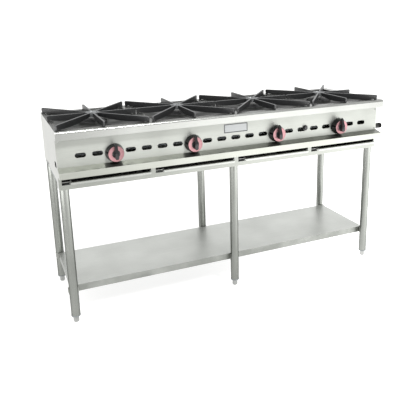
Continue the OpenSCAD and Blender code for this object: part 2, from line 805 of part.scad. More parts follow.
placed() top_plate();
placed() left_side();
placed() right_side();
placed() back_panel();
placed() control_panel();
placed() front_ledge();
placed() front_rail();
placed() front_bearer();
placed() back_bearer();
placed() side_bearers();
placed() tray_guides();
placed() undershelf();
placed() shelf_clips();
placed() leg_inserts();
placed() spill_bowls();
placed() burner_bases();
placed() burner_bearers();
placed() manifold();
placed() manifold_plug();
placed() manifold_brackets();
placed() gas_taps();
placed() igniter_body();
placed() igniter_button();
for (i = [1:legs]) {
    placed() leg(i);
    placed() foot(i);
}
for (i = [1:burners]) {
    placed() drip_tray(i);
    placed() pan_support(i);
    placed() burner_head(i);
    placed() tap_spindle(i);
    placed() knob(i);
    placed() knob_face(i);
}
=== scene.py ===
import json
import math

import bmesh
import bpy
from mathutils import Matrix, Vector

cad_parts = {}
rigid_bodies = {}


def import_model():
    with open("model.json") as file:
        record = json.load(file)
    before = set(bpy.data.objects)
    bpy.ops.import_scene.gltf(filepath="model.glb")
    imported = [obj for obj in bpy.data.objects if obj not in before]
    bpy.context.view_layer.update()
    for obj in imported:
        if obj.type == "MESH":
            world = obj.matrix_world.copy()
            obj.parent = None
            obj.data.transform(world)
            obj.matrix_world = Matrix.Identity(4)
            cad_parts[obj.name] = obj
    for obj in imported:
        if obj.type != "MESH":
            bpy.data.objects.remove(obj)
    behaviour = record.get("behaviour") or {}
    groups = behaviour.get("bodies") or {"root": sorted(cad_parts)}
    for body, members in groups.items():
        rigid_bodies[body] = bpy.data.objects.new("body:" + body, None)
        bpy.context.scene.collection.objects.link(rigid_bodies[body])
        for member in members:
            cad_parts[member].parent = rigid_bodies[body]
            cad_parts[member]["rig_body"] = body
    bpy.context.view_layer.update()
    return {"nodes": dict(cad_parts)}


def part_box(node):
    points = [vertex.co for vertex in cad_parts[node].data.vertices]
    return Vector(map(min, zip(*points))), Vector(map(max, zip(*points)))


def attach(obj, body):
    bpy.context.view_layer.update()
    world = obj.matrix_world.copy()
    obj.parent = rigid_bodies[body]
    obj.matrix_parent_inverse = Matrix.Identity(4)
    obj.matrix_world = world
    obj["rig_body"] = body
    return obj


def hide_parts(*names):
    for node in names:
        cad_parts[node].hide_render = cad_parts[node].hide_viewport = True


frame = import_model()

mm = 0.001
nodes = frame["nodes"]
print("frame loaded:", len(nodes), "nodes")


def linear(code, alpha=1.0):
    # sRGB hex to the linear colour that the shaders want
    values = [int(code[i:i + 2], 16) / 255 for i in (1, 3, 5)]
    return [v / 12.92 if v <= 0.04045 else ((v + 0.055) / 1.055) ** 2.4 for v in values] + [alpha]


def addNode(tree, kind, inputs=None, **settings):
    # one node; an input is a plain value or another node's output
    node = tree.nodes.new(kind)
    for name, value in settings.items():
        setattr(node, name, value)
    for name, value in (inputs or {}).items():
        if isinstance(value, bpy.types.NodeSocket):
            tree.links.new(value, node.inputs[name])
        else:
            node.inputs[name].default_value = value
    return node


def calc(tree, operation, *values):
    return addNode(tree, "ShaderNodeMath", dict(enumerate(values)), operation=operation).outputs[0]


def calcVector(tree, operation, *values, output=0):
    made = addNode(tree, "ShaderNodeVectorMath", dict(enumerate(values)), operation=operation)
    return made.outputs[output]


def span(tree, value, taken=(0.0, 1.0), given=(0.0, 1.0), shape="LINEAR"):
    # lays the range taken over the range given, and holds the value at both ends
    made = addNode(tree, "ShaderNodeMapRange",
                   {"Value": value, "From Min": taken[0], "From Max": taken[1],
                    "To Min": given[0], "To Max": given[1]}, interpolation_type=shape)
    return made.outputs[0]


def noise(tree, place, size, detail=2.0):
    # lumps of about size mm
    made = addNode(tree, "ShaderNodeTexNoise", {"Vector": place, "Scale": 1000 / size, "Detail": detail})
    return made.outputs[0]


def blend(tree, amount, first, second):
    # each colour is a hex code or another node's output
    ends = [linear(c) if isinstance(c, str) else c for c in (first, second)]
    made = addNode(tree, "ShaderNodeMix", {"Factor": amount, "A": ends[0], "B": ends[1]}, data_type="RGBA")
    return made.outputs["Result"]


def objectPlace(tree):
    return addNode(tree, "ShaderNodeTexCoord").outputs["Object"]


def upwardShare(tree):
    # 1 on a face that looks straight up, 0 on an upright one
    normal = addNode(tree, "ShaderNodeNewGeometry").outputs["True Normal"]
    return addNode(tree, "ShaderNodeSeparateXYZ", {0: normal}).outputs["Z"]


def newPiece(name, data):
    piece = bpy.data.objects.new(name, data)
    bpy.context.scene.collection.objects.link(piece)
    return piece


# camera, from the photograph's own perspective
cameraFit = {
    "place": (-1.057925, -2.390231, 1.298283),
    "yaw": 23.563,      # turned to the right, degrees
    "pitch": 14.678,    # down
    "roll": 1.111,
    "lens": 46.64,      # mm
    "sensor": 36.0,
    "shift": (-0.026628, -0.131179),
    "reach": 200.0,     # m
}


def makeCamera(fit):
    yaw, pitch, roll = (math.radians(fit[k]) for k in ("yaw", "pitch", "roll"))
    ahead = Vector((math.sin(yaw) * math.cos(pitch), math.cos(yaw) * math.cos(pitch), -math.sin(pitch)))
    right = Vector((math.cos(yaw), -math.sin(yaw), 0))
    down = ahead.cross(right)
    across = right * math.cos(roll) + down * math.sin(roll)
    below = down * math.cos(roll) - right * math.sin(roll)
    data = bpy.data.cameras.new("studioCamera")
    data.lens = fit["lens"]
    data.sensor_width = fit["sensor"]
    data.shift_x, data.shift_y = fit["shift"]
    data.clip_end = fit["reach"]
    camera = newPiece("studioCamera", data)
    turn = Matrix((across, -below, -ahead)).transposed().to_4x4()
    camera.matrix_world = Matrix.Translation(fit["place"]) @ turn
    bpy.context.scene.camera = camera


# studio: a white floor under a white tent, with bright patches of floor ahead of the right end
# and to the left, and a darker low band in the tent's back left, which the worktop mirrors
studio = {
    "floorColour": "#9C9C9A",
    "floorRough": 0.9,
    "floorGlow": 0.8,
    "floorSize": 90.0,      # m, half the side
    "patches": [
        # centre, stretch, m out to which it is full, m to where it has faded, glow
        ((2.9, -5.0, 0.0), (1.0, 0.45, 1.0), 1.4, 3.9, 2.6),
        ((-4.8, -2.2, 0.0), (1.0, 1.0, 1.0), 1.6, 3.2, 6.0),
    ],
    "skyColour": "#FFFFFF",
    "skyStrength": 1.2,
    "bandLow": (5.0, 8.0),      # degrees up where the darker band begins and is full
    "bandHigh": (14.0, 19.0),   # and where it stops being full and ends
    "bandHeading": -5.0,        # degrees to the right of straight back
    "bandSpread": (18.0, 44.0),  # degrees to its sides where it is full and gone
    "bandDepth": 0.95,
    "lamps": [
        # name, from where, strength, spread in degrees
        ("keyLamp", (0.3, -1.0, 1.2), 2.0, 10),
        ("sideLamp", (-1.0, -0.2, 0.9), 0.35, 40),
    ],
}


def makeStudio(look):
    half = look["floorSize"]
    floorMesh = bpy.data.meshes.new("studioFloor")
    floorMesh.from_pydata([(-half, -half, 0), (half, -half, 0), (half, half, 0), (-half, half, 0)],
                          [], [(0, 1, 2, 3)])
    floor = newPiece("studioFloor", floorMesh)
    paint = bpy.data.materials.new("matt white studio floor")
    paint.use_nodes = True
    tree = paint.node_tree
    shader = tree.nodes["Principled BSDF"]
    shader.inputs["Base Color"].default_value = linear(look["floorColour"])
    shader.inputs["Roughness"].default_value = look["floorRough"]
    shader.inputs["Specular IOR Level"].default_value = 0.0
    shader.inputs["Emission Color"].default_value = linear("#FFFFFF")
    place = objectPlace(tree)
    glow = look["floorGlow"]
    for centre, stretch, core, reach, extra in look["patches"]:
        offset = calcVector(tree, "SUBTRACT", place, centre)
        squeezed = calcVector(tree, "MULTIPLY", offset, stretch)
        away = calcVector(tree, "LENGTH", squeezed, output="Value")
        patch = span(tree, away, (core, reach), (extra, 0.0), "SMOOTHSTEP")
        glow = calc(tree, "ADD", glow, patch)
    tree.links.new(glow, shader.inputs["Emission Strength"])
    floorMesh.materials.append(paint)

    for name, source, strength, spread in look["lamps"]:
        lamp = bpy.data.lights.new(name, "SUN")
        lamp.energy = strength
        lamp.angle = math.radians(spread)
        newPiece(name, lamp).rotation_euler = Vector(source).to_track_quat("Z", "Y").to_euler()


def makeSky(look):
    world = bpy.data.worlds.new("softStudio")
    bpy.context.scene.world = world
    world.use_nodes = True
    tree = world.node_tree
    sky = tree.nodes["Background"]
    sky.inputs["Color"].default_value = linear(look["skyColour"])
    heading = math.radians(look["bandHeading"])
    way = addNode(tree, "ShaderNodeTexCoord").outputs["Generated"]
    height = addNode(tree, "ShaderNodeSeparateXYZ", {0: way}).outputs["Z"]
    ahead = calcVector(tree, "DOT_PRODUCT", way, (math.sin(heading), math.cos(heading), 0), output="Value")
    low, high = ([math.sin(math.radians(v)) for v in look[k]] for k in ("bandLow", "bandHigh"))
    full, gone = (math.cos(math.radians(v)) for v in look["bandSpread"])
    begins = span(tree, height, low, (0.0, look["bandDepth"]), "SMOOTHSTEP")
    ends = span(tree, height, high, (1.0, 0.0), "SMOOTHSTEP")
    sides = span(tree, ahead, (gone, full), shape="SMOOTHSTEP")
    band = calc(tree, "MULTIPLY", calc(tree, "MULTIPLY", begins, ends), sides)
    tree.links.new(calc(tree, "SUBTRACT", look["skyStrength"], band), sky.inputs["Strength"])


makeCamera(cameraFit)
makeStudio(studio)
makeSky(studio)
bpy.context.scene.view_settings.view_transform = "Standard"
print("camera and studio set")


# finishes
contrast = (0.3, 0.7)       # the part of a noise that is laid over a finish's whole range


def newMaterial(name):
    material = bpy.data.materials.new(name)
    material.use_nodes = True
    tree = material.node_tree
    tree.nodes.clear()
    shader = addNode(tree, "ShaderNodeBsdfPrincipled")
    addNode(tree, "ShaderNodeOutputMaterial", {"Surface": shader.outputs[0]})
    return material, tree, shader, objectPlace(tree)


def joinShader(tree, shader, tone, gloss, height, strength, depth):
    # depth is the bump's in mm
    bump = addNode(tree, "ShaderNodeBump", {"Height": height, "Strength": strength, "Distance": depth * mm})
    tree.links.new(tone, shader.inputs["Base Color"])
    tree.links.new(gloss, shader.inputs["Roughness"])
    tree.links.new(bump.outputs[0], shader.inputs["Normal"])


steelSkin = {
    "grain": 0.9,       # mm between scratches, coarser than the real 0.1 mm so that they show
    "drawnOut": 110.0,  # a scratch's length over its width
    "scratchDetail": 4.0,
    "scratchRough": 0.65,
    "cloud": 180.0,     # mm
    "cloudShare": 0.7,  # of the clouds in the tone, against 1 of the scratches
    "toneRange": (0.55, 1.15),
    "relief": 0.04,
    "depth": 0.4,       # mm
    # tangents that draw a reflection out across the scratches
    "tangents": {"x": (0, 0.25, 1), "y": (0.25, 0, 1)},
}


def brushedSteel(name, dark, light, along, rough=(0.28, 0.36), spread=0.6, edgeTint="#FFFFFF"):
    # Cold-rolled 430 stainless, belt-ground: fine straight scratches all one way, which draw
    # each reflection out across them, and a faint cloudiness where the sheet was wiped.
    material, tree, shader, place = newMaterial(name)
    skin = steelSkin
    fine = 1000 / skin["grain"]
    long = 1000 / (skin["grain"] * skin["drawnOut"])
    stretched = addNode(tree, "ShaderNodeMapping",
                        {"Vector": place, "Scale": [long if axis == along else fine for axis in "xyz"]})
    scratch = addNode(tree, "ShaderNodeTexNoise",
                      {"Vector": stretched.outputs[0], "Scale": 1.0, "Detail": skin["scratchDetail"],
                       "Roughness": skin["scratchRough"]}).outputs[0]
    haze = noise(tree, place, skin["cloud"])
    mixed = calc(tree, "MULTIPLY_ADD", haze, skin["cloudShare"], scratch)
    tone = blend(tree, span(tree, mixed, skin["toneRange"]), dark, light)
    gloss = span(tree, scratch, contrast, rough)
    if along in skin["tangents"]:
        drawn = addNode(tree, "ShaderNodeCombineXYZ", dict(enumerate(skin["tangents"][along])))
    else:
        drawn = addNode(tree, "ShaderNodeTangent", direction_type="RADIAL", axis="Z")
    tree.links.new(drawn.outputs[0], shader.inputs["Tangent"])
    joinShader(tree, shader, tone, gloss, scratch, skin["relief"], skin["depth"])
    shader.inputs["Metallic"].default_value = 1.0
    shader.inputs["Anisotropic"].default_value = spread
    shader.inputs["Specular Tint"].default_value = linear(edgeTint)
    return material


# painted shade: the ledge's upward-facing top is drawn darker, in blotches
ledgePaintedShade = {
    "colour": "#62635E",
    "depth": 0.45,
    "patch": 45.0,      # mm across
    "facing": (0.3, 0.6),       # upward share of the normal where it starts and where it is full
}
shelfEdge = {
    "colour": "#888A86",
    "depth": 0.95,
    "patch": 120.0,     # mm across
    "facing": (0.9, 0.6),       # full on what stands upright
}


def facingDarkenedSteel(material, look):
    # darker in blotches on what faces one way: painted shade on the ledge's sloping top, standing
    # in for the dark reflection it shows, and the shelf's faces that don't look up drawn darker
    blotchRange = (0.7, 1.2)
    tree = material.node_tree
    shader = tree.nodes["Principled BSDF"]
    clean = shader.inputs["Base Color"].links[0].from_socket
    place = objectPlace(tree)
    faced = span(tree, upwardShare(tree), look["facing"], (0.0, look["depth"]))
    blotch = span(tree, noise(tree, place, look["patch"], 3.0), contrast, blotchRange)
    tone = blend(tree, calc(tree, "MULTIPLY", faced, blotch), clean, look["colour"])
    tree.links.new(tone, shader.inputs["Base Color"])
    return material


def zincSheet(name):
    # Galvanised steel: dull blue-grey zinc with soft spangles.
    spangleSize = 12.0      # mm
    material, tree, shader, place = newMaterial(name)
    spangle = addNode(tree, "ShaderNodeTexVoronoi", {"Vector": place, "Scale": 1000 / spangleSize})
    depth = spangle.outputs["Distance"]
    tone = blend(tree, depth, "#74787A", "#9A9EA0")
    gloss = span(tree, depth, given=(0.42, 0.6))
    joinShader(tree, shader, tone, gloss, depth, 0.05, 0.3)
    shader.inputs["Metallic"].default_value = 0.9
    return material


def castIron(name, dark, light, rough, specular):
    # Sand-cast grey iron, stove-blacked: a pebbly skin, and shallow waves from the mould.
    grainSize, waveSize = 1.5, 14.0     # mm
    grainShare = 0.35       # of the grains in the relief, against 1 of the waves
    material, tree, shader, place = newMaterial(name)
    grains = noise(tree, place, grainSize, 4.0)
    waves = noise(tree, place, waveSize)
    tone = blend(tree, waves, dark, light)
    gloss = span(tree, grains, contrast, rough)
    skin = calc(tree, "MULTIPLY_ADD", grains, grainShare, waves)
    joinShader(tree, shader, tone, gloss, skin, 0.35, 0.8)
    shader.inputs["Specular IOR Level"].default_value = specular
    return material


# pan support: the hub is fettled to bright iron, and faces that look up are drawn lighter grey: pan rub
# together with a painted highlight where the tops catch the light
supportLook = {
    "hubRadius": 30.3,      # mm
    "fade": 1.5,            # mm over which the fettled patch ends
    "groundDark": "#5C5E5F",
    "groundLight": "#959798",
    "groundMarks": 6.0,     # mm between grinder marks, drawn coarser than the real 1 mm
    "groundRange": (0.35, 0.65),
    "rubAndPaintedHighlight": "#4E4F50",
    "rubAndPaintedHighlightFacing": (0.4, 0.9),     # upward share of the normal where it starts and where it is full
    "metal": 0.8,
}


def wornAndHighlightedSupport(material, centres, look):
    # fettled iron round each hub's axis, and on what faces up a lighter grey that is pan rub and painted
    # highlight together
    tree = material.node_tree
    shader = tree.nodes["Principled BSDF"]
    black = shader.inputs["Base Color"].links[0].from_socket
    place = objectPlace(tree)
    flat = calcVector(tree, "MULTIPLY", place, (1, 1, 0))
    nearest = None
    for x, y in centres:
        away = calcVector(tree, "DISTANCE", flat, (x, y, 0), output="Value")
        nearest = away if nearest is None else calc(tree, "MINIMUM", nearest, away)
    edge = look["hubRadius"]
    near = span(tree, nearest, (edge * mm, (edge + look["fade"]) * mm), (1.0, 0.0))
    upward = span(tree, upwardShare(tree), look["rubAndPaintedHighlightFacing"])
    marks = noise(tree, place, look["groundMarks"], 3.0)
    ground = blend(tree, span(tree, marks, look["groundRange"]), look["groundDark"], look["groundLight"])
    # painted highlight: upward faces lighter grey, together with pan rub
    tops = blend(tree, upward, black, look["rubAndPaintedHighlight"])
    tree.links.new(blend(tree, near, tops, ground), shader.inputs["Base Color"])
    tree.links.new(calc(tree, "MULTIPLY", near, look["metal"]), shader.inputs["Metallic"])
    return material


def bakedEnamel(name):
    # Pressed sheet under dark vitreous enamel: a soft gloss, slightly wavy, browned by heat in
    # soft patches.
    patchSize = 60.0        # mm
    material, tree, shader, place = newMaterial(name)
    patch = noise(tree, place, patchSize, 3.0)
    tone = blend(tree, patch, "#3E3F3E", "#585957")
    gloss = span(tree, patch, given=(0.34, 0.5))
    joinShader(tree, shader, tone, gloss, patch, 0.1, 2.0)
    shader.inputs["Metallic"].default_value = 0.75
    return material


def mouldedBlack(name, shade, light, rough, coat, specular=0.5, grit=0.6):
    # Compression-moulded phenolic, or a lacquer over pipe: near black, with a fine orange peel
    # under its gloss. grit is the peel's size in mm.
    smearSize = 9.0         # mm
    material, tree, shader, place = newMaterial(name)
    peel = noise(tree, place, grit)
    smear = noise(tree, place, smearSize)
    tone = blend(tree, smear, shade, light)
    gloss = span(tree, smear, contrast, rough)
    joinShader(tree, shader, tone, gloss, peel, 0.08, 0.2)
    shader.inputs["Specular IOR Level"].default_value = specular
    shader.inputs["Coat Weight"].default_value = coat
    shader.inputs["Coat Roughness"].default_value = 0.12
    return material


def anodisedRing(name):
    # Spun aluminium, dyed rose and sealed: a pink metallic glow, a little uneven from the bath.
    unevenSize = 9.0        # mm
    material, tree, shader, place = newMaterial(name)
    glow = noise(tree, place, unevenSize)
    tone = blend(tree, glow, "#845A5E", "#A58285")
    gloss = span(tree, glow, given=(0.24, 0.36))
    joinShader(tree, shader, tone, gloss, glow, 0.1, 1.0)
    shader.inputs["Metallic"].default_value = 0.9
    return material


def machinedMetal(name, dark, light, rough):
    # Bar stock turned on a lathe: bright, with fine feed marks and faint stains.
    feedSize, stainSize = 0.5, 20.0     # mm
    material, tree, shader, place = newMaterial(name)
    feed = noise(tree, place, feedSize, 1.0)
    tone = blend(tree, noise(tree, place, stainSize), dark, light)
    gloss = span(tree, feed, contrast, rough)
    joinShader(tree, shader, tone, gloss, feed, 0.06, 0.2)
    shader.inputs["Metallic"].default_value = 1.0
    return material


hubCentres = []
for name in nodes:
    if name.startswith("pan_support_"):
        low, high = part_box(name)
        hubCentres.append([(low[k] + high[k]) / 2 for k in (0, 1)])

# the stainless finishes are one steel in lit and shaded copies: the rail, ledge and worktop are painted
# darker for the shade and dark reflections on them, and the shelf is painted lighter
finishes = {
    "worktopSteel": brushedSteel("brushed stainless worktop", "#8C8D8A", "#9C9D9A", "x", rough=(0.2, 0.28),
                                 spread=0.35),
    "panelSteel": brushedSteel("brushed stainless panel", "#989A95", "#ACAEA9", "x", rough=(0.4, 0.48),
                               spread=0.7),
    "railSteel": brushedSteel("brushed stainless rail", "#868883", "#9A9C97", "x"),
    "ledgeSteel": facingDarkenedSteel(brushedSteel("brushed stainless ledge", "#95978F", "#A7A9A3", "x",
                                           spread=0.5), ledgePaintedShade),
    "sideSteel": brushedSteel("brushed stainless side", "#9E9F9B", "#AFB0AC", "y", rough=(0.3, 0.42)),
    "shelfSteel": facingDarkenedSteel(brushedSteel("brushed stainless shelf", "#B9BBB7", "#D3D5D1", "x",
                                           rough=(0.36, 0.46), spread=0.2), shelfEdge),
    "traySteel": brushedSteel("bright stainless tray", "#979995", "#ABADA9", "x", rough=(0.22, 0.3)),
    # painted shade: the tubes' dark edge tint darkens their grazing reflections, so their sides read darker
    "tubeSteel": brushedSteel("satin stainless tube", "#7E807C", "#949692", "z", rough=(0.2, 0.3),
                              edgeTint="#505050"),
    "zinc": zincSheet("galvanised sheet"),
    "iron": castIron("stove-blacked cast iron", "#101112", "#1E1F20", (0.42, 0.55), 0.4),
    "supportIron": wornAndHighlightedSupport(castIron("stove-blacked iron, worn where pans rub", "#0E0F10", "#1B1C1D",
                                        (0.36, 0.46), 0.7), hubCentres, supportLook),
    "headIron": castIron("scaled cast iron", "#161617", "#262728", (0.5, 0.65), 0.35),
    "enamel": bakedEnamel("heat-dulled enamel"),
    "knobBlack": mouldedBlack("glossy phenolic", "#060607", "#0E0E0F", (0.18, 0.26), 0.18, specular=0.35),
    "ringRose": anodisedRing("rose anodised aluminium"),
    "brass": machinedMetal("turned brass", "#A87F33", "#D2AC5C", (0.2, 0.34)),
    "rod": machinedMetal("turned steel", "#8A8B8A", "#B4B5B3", (0.22, 0.34)),
    "zincScrew": machinedMetal("bright zinc plated screw", "#8F9294", "#B3B6B8", (0.25, 0.38)),
    "plateSatin": brushedSteel("satin anodised plate", "#868888", "#979999", "x", rough=(0.3, 0.4)),
    "pipeBlack": mouldedBlack("black pipe lacquer", "#0E0E0E", "#1D1D1D", (0.36, 0.5), 0.05, specular=0.25,
                              grit=1.2),
    "plasticBlack": mouldedBlack("moulded black plastic", "#0C0C0D", "#161617", (0.3, 0.42), 0.2),
}

nodeFinish = {
    "top_plate": "worktopSteel", "left_side": "sideSteel", "right_side": "sideSteel",
    "back_panel": "panelSteel", "control_panel": "panelSteel", "front_ledge": "ledgeSteel",
    "front_rail": "railSteel", "front_bearer": "zinc", "back_bearer": "zinc",
    "side_bearers": "zinc", "tray_guides": "sideSteel", "undershelf": "shelfSteel",
    "shelf_clips": "sideSteel", "leg_inserts": "zinc", "spill_bowls": "enamel",
    "burner_bases": "iron", "burner_bearers": "zinc", "manifold": "pipeBlack",
    "manifold_plug": "pipeBlack", "manifold_brackets": "zinc", "gas_taps": "brass",
    "igniter_body": "plasticBlack", "igniter_button": "plasticBlack",
    "leg": "tubeSteel", "foot": "rod", "drip_tray": "traySteel", "pan_support": "supportIron",
    "burner_head": "headIron", "tap_spindle": "rod", "knob": "knobBlack", "knob_face": "ringRose",
}


def stemOf(name):
    return name.rstrip("0123456789").rstrip("_")


for name, node in nodes.items():
    finish = finishes[nodeFinish.get(name) or nodeFinish[stemOf(name)]]
    node.data.materials.clear()
    node.data.materials.append(finish)
print("finishes made:", len(finishes))

# dressed copies of the nodes: doubles merged, round faces smooth, edges that catch the light
dressing = {
    # node stem: (edge rounding in mm, steps)
    "top_plate": (0.0, 0), "leg": (0.3, 1), "leg_inserts": (0.4, 1), "spill_bowls": (0.0, 0),
    "burner_bases": (0.8, 2), "manifold": (0.0, 0), "gas_taps": (0.4, 1), "manifold_plug": (0.5, 2),
    "igniter_body": (0.3, 1), "igniter_button": (0.4, 2), "foot": (0.4, 2),
    "pan_support": (0.8, 2), "burner_head": (0.5, 2), "drip_tray": (0.0, 0), "tap_spindle": (0.3, 1),
    "knob": (0.5, 2),
}
dressRules = {
    "welds": (0.01, 0.1, 0.3),      # mm, coarser only where a face came out folded over itself
    "areaSlack": 1.001,     # times the node's own area, over which one did
    "flat": 0.5,            # degrees, under which two faces become one
    "edge": 32.0,           # over which an edge is rounded
    "sharp": 28.0,          # over which the shading breaks
}


def triangleArea(mesh):
    mesh.calc_loop_triangles()
    return sum(t.area for t in mesh.loop_triangles)


def applyModifiers(piece):
    made = bpy.data.meshes.new_from_object(piece.evaluated_get(bpy.context.evaluated_depsgraph_get()))
    piece.modifiers.clear()
    piece.data = made


def dress(node, width, steps, reshape=None):
    piece = newPiece(node.name + ".dressed", node.data)
    for weld in dressRules["welds"]:
        piece.data = node.data.copy()
        work = bmesh.new()
        work.from_mesh(piece.data)
        bmesh.ops.remove_doubles(work, verts=work.verts, dist=weld * mm)
        bmesh.ops.dissolve_limit(work, angle_limit=math.radians(dressRules["flat"]),
                                 verts=work.verts, edges=work.edges)
        if reshape:
            reshape(work, node.name)
        work.to_mesh(piece.data)
        work.free()
        if width:
            bevel = piece.modifiers.new("rounded", "BEVEL")
            bevel.width = width * mm
            bevel.segments = steps
            bevel.limit_method = "ANGLE"
            bevel.angle_limit = math.radians(dressRules["edge"])
            bevel.use_clamp_overlap = False
            applyModifiers(piece)
        if triangleArea(piece.data) < dressRules["areaSlack"] * triangleArea(node.data):
            break
    piece.data.shade_smooth()
    piece.data.set_sharp_from_angle(angle=math.radians(dressRules["sharp"]))
    # flat sheets keep their own normal right up to each bend
    even = piece.modifiers.new("evened", "WEIGHTED_NORMAL")
    even.keep_sharp = True
    applyModifiers(piece)
    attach(piece, node["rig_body"])
    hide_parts(node.name)


def joinLoops(work, one, two):
    for k in range(len(one)):
        j = (k + 1) % len(one)
        work.faces.new((one[k], one[j], two[j], two[k]))


def outwardMesh(name, work, finish):
    bmesh.ops.recalc_face_normals(work, faces=work.faces)
    mesh = bpy.data.meshes.new(name)
    work.to_mesh(mesh)
    work.free()
    mesh.materials.append(finishes[finish])
    return mesh


def addPart(name, mesh, body):
    piece = newPiece(name, mesh)
    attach(piece, body)


# threads: cut on the gas inlet and on the stems of the six feet
inletThread = {
    "pitch": 1.814,     # mm, three-quarter inch pipe thread
    "crest": 13.2,
    "root": 12.1,
    "bore": 10.85,
    "length": 20.0,
    "overlap": 0.5,     # of the plain pipe into the sleeve
    "endZone": 1.0,     # within which a vertex belongs to the pipe's end
    "sides": 40,
}
stemThread = {
    "pitch": 1.75,      # mm, M12 coarse
    "crest": 5.95,
    "root": 5.0,
    "bore": 2.0,
    "length": 31.5,
    "plain": (5.5, 6.5),    # radii between which a vertex belongs to the CAD's plain stem
    "from": 27.0,       # mm up from the floor
    "inside": 0.1,      # by which the plain stem is kept under the root
    "sides": 24,
}
threadRings = 8         # for each turn
threadFlank = 1.2       # over 1 the crests come out flat


def threadSleeve(name, look, start, axis, body, finish):
    # a closed sleeve from start along axis, its outside a helical ridge, chamfered at the far end
    rings = round(look["length"] / look["pitch"] * threadRings)
    turn = Vector((0, 0, 1)).rotation_difference(Vector(axis)).to_matrix()
    work = bmesh.new()

    def ring(along, radiusAt):
        made = []
        for k in range(look["sides"]):
            angle = 2 * math.pi * k / look["sides"]
            r = radiusAt(angle)
            local = Vector((r * math.cos(angle), r * math.sin(angle), along)) * mm
            made.append(work.verts.new(Vector(start) + turn @ local))
        return made

    def ridge(along):
        def radiusAt(angle):
            phase = (along / look["pitch"] - angle / (2 * math.pi)) % 1.0
            depth = look["crest"] - look["root"]
            sharp = look["root"] + depth * min(1.0, threadFlank * (1 - abs(2 * phase - 1)))
            return min(sharp, look["crest"] - depth + (look["length"] - along))
        return radiusAt

    loops = [ring(0.0, lambda angle: look["bore"])]
    for k in range(rings + 1):
        along = look["length"] * k / rings
        loops.append(ring(along, ridge(along)))
    loops.append(ring(look["length"], lambda angle: look["bore"]))
    for one, two in zip(loops, loops[1:] + loops[:1]):
        joinLoops(work, one, two)
    addPart(name, outwardMesh(name, work, finish), body)


def shortenInlet(work, name):
    # takes the plain end off the pipe, which the threaded sleeve stands for
    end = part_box(name)[1][0]
    for vert in work.verts:
        if vert.co.x > end - inletThread["endZone"] * mm:
            vert.co.x -= (inletThread["length"] - inletThread["overlap"]) * mm


def narrowStem(work, name):
    # turns the stem down inside its thread
    low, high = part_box(name)
    centre = Vector(((low[0] + high[0]) / 2, (low[1] + high[1]) / 2, 0))
    inner, outer = (r * mm for r in stemThread["plain"])
    for vert in work.verts:
        out = vert.co - centre
        out.z = 0
        if vert.co.z > stemThread["from"] * mm and inner < out.length < outer:
            vert.co -= out * (1 - (stemThread["root"] - stemThread["inside"]) * mm / out.length)


knobRing = {
    "inner": 17.0,      # mm
    "proud": 1.0,       # outer rim above the knob's disc
    "land": 0.5,        # flat at each rim
    "steps": 8,
    "sides": 96,
    "sharp": 35.0,      # degrees
}


def dishedRing(node, look):
    # the knob's spun ring, hollowed so that each side of it mirrors another part of the room
    low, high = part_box(node.name)
    centre = ((low[0] + high[0]) / 2, (low[2] + high[2]) / 2)
    outer = (high[0] - low[0]) / 2
    inner = look["inner"] * mm
    land = look["land"] * mm
    rim = low[1] - look["proud"] * mm
    profile = [(inner, high[1]), (inner, low[1])]
    for k in range(look["steps"] + 1):
        u = k / look["steps"]
        profile.append((inner + land + u * (outer - inner - 2 * land), low[1] - look["proud"] * mm * u * u))
    profile += [(outer, rim), (outer, high[1])]
    work = bmesh.new()
    angles = [2 * math.pi * k / look["sides"] for k in range(look["sides"])]
    loops = [[work.verts.new((centre[0] + radius * math.cos(a), y, centre[1] + radius * math.sin(a)))
              for a in angles] for radius, y in profile]
    for one, two in zip(loops, loops[1:] + loops[:1]):
        joinLoops(work, one, two)
    mesh = outwardMesh(node.name + ".dished", work, "ringRose")
    mesh.shade_smooth()
    mesh.set_sharp_from_angle(angle=math.radians(look["sharp"]))
    piece = newPiece(node.name + ".dished", mesh)
    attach(piece, node["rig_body"])
    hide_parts(node.name)


reshapes = {"manifold": shortenInlet, "foot": narrowStem}
for name, node in list(nodes.items()):
    if stemOf(name) in dressing:
        dress(node, *dressing[stemOf(name)], reshapes.get(stemOf(name)))
    if stemOf(name) == "knob_face":
        dishedRing(node, knobRing)
print("curved nodes dressed")

pipeLow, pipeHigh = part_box("manifold")
pipeAxis = [(pipeLow[k] + pipeHigh[k]) / 2 for k in (1, 2)]
threadSleeve("inlet_thread", inletThread, (pipeHigh[0] - inletThread["length"] * mm, *pipeAxis), (1, 0, 0),
             nodes["manifold"]["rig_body"], "pipeBlack")
for name, node in nodes.items():
    if stemOf(name) == "foot":
        low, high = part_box(name)
        start = ((low[0] + high[0]) / 2, (low[1] + high[1]) / 2, high[2] - stemThread["length"] * mm)
        threadSleeve(name + ".thread", stemThread, start, (0, 0, 1), node["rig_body"], "rod")
print("threads cut")


casing = nodes["control_panel"]["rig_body"]

# nameplate: a bare satin plate with a dark border line, riveted to the control panel
nameplate = {
    "width": 119.0,     # mm
    "height": 42.0,
    "thick": 0.8,
    "corner": 4.0,
    "cornerSteps": 5,
    "edge": 0.25,       # chamfer
    "left": -92.0,      # from the frame's origin
    "bottom": 772.0,
    "borderIn": 1.2,    # from the edge to the border line
    "borderWidth": 3.6,
    "borderSunk": 0.2,
    "borderProud": 0.1,
    "borderCorner": 0.5,    # the least
    "rivetIn": 8.5,     # rivets from the plate's edges
    "rivetAcross": 4.4,
    "rivetRise": 1.3,
}


